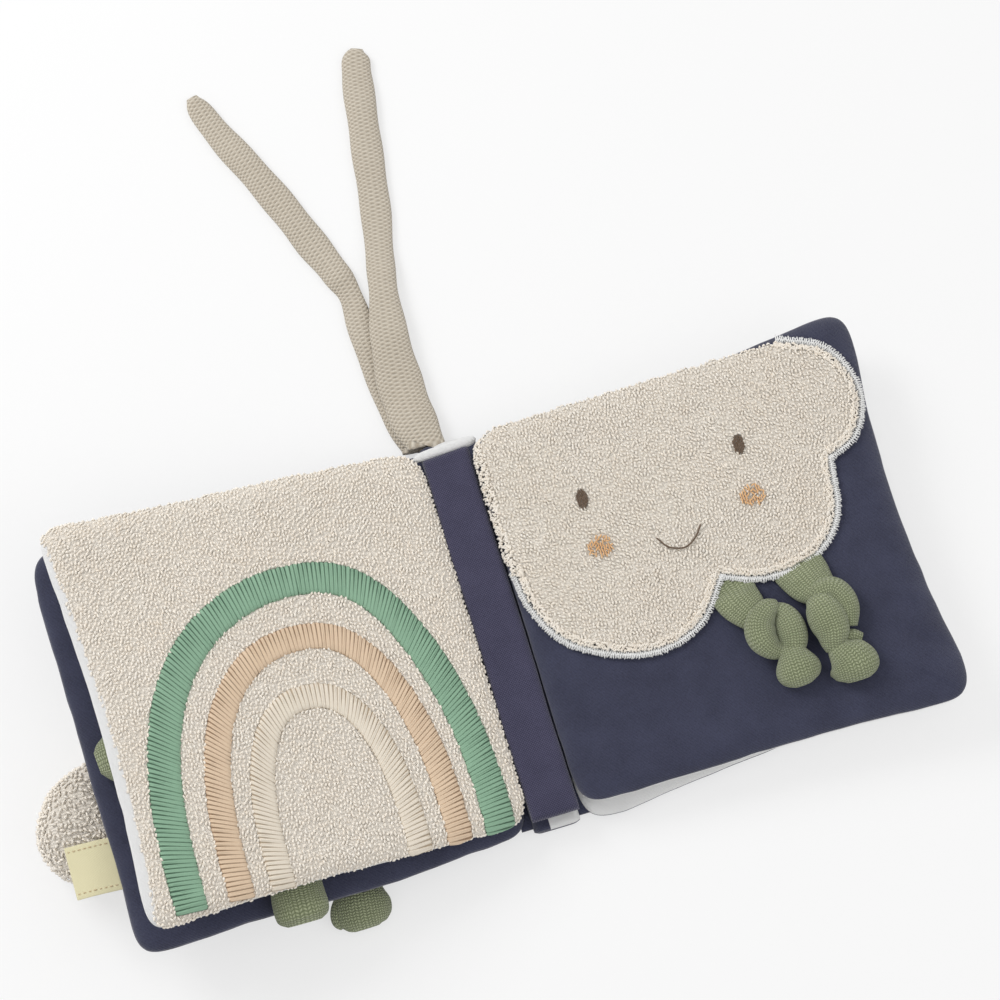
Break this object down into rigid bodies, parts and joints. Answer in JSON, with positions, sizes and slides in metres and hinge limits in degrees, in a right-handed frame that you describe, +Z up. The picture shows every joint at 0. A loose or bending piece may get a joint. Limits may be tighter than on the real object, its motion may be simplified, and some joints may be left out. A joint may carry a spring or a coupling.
{
  "type": "cloth book",
  "caption": "Padded cloth activity book lying open at its middle spread, with terry and jersey pages, embroidery, knitted limbs and canvas ties.",
  "frame": {"origin": "on the table under the middle of the spine, on the spine's flat underside", "axes": "+X from the gutter towards the night page, +Y towards the head and the ties, +Z up off the table"},
  "size_m": [0.3708, 0.3586, 0.056],
  "materials": {
    "cream_terry": "looped terry cloth",
    "navy_jersey": "brushed cotton jersey",
    "navy_twill": "cotton twill",
    "white_velour": "white cotton velour",
    "green_thread": "satin stitch embroidery",
    "tan_thread": "satin stitch embroidery",
    "cream_thread": "satin stitch embroidery",
    "white_thread": "zigzag embroidery",
    "brown_thread": "satin stitch embroidery",
    "orange_thread": "satin stitch embroidery",
    "green_knit": "fine knitted cotton",
    "beige_canvas": "plain-woven canvas",
    "yellow_ribbon": "woven satin ribbon"
  },
  "bodies": {
    "book_block": {"spread_backing": "white_velour", "rainbow_page": "cream_terry", "night_page": "navy_jersey", "gutter_strip": "navy_twill", "green_arch": "green_thread", "tan_arch": "tan_thread", "cream_arch": "cream_thread", "cloud_patch": "cream_terry", "cloud_edging": "white_thread", "eye_left": "brown_thread", "eye_right": "brown_thread", "cheek_left": "orange_thread", "cheek_right": "orange_thread", "smile": "brown_thread", "cloud_leg_left": "green_knit", "cloud_leg_right": "green_knit", "spine_outside": "navy_jersey", "spine_inside": "white_velour", "tie_left": "beige_canvas", "tie_right": "beige_canvas"},
    "front_cover": {"front_cover_inside": "navy_jersey", "front_cover_outside": "navy_jersey", "cover_cloud": "cream_terry", "cover_cloud_leg": "green_knit", "side_label": "yellow_ribbon", "page_arm": "green_knit", "page_leg": "green_knit"},
    "back_cover": {"back_cover_inside": "white_velour", "back_cover_outside": "navy_jersey"}
  },
  "joints": [
    {"name": "front_cover_hinge", "type": "hinge", "parent": "book_block", "child": "front_cover", "pos_m": [-0.0127, 0, 0.004], "axis": [0, -1, 0], "range_deg": [0, 90]},
    {"name": "back_cover_hinge", "type": "hinge", "parent": "book_block", "child": "back_cover", "pos_m": [0.0127, 0, 0.004], "axis": [0, 1, 0], "range_deg": [0, 80]}
  ]
}
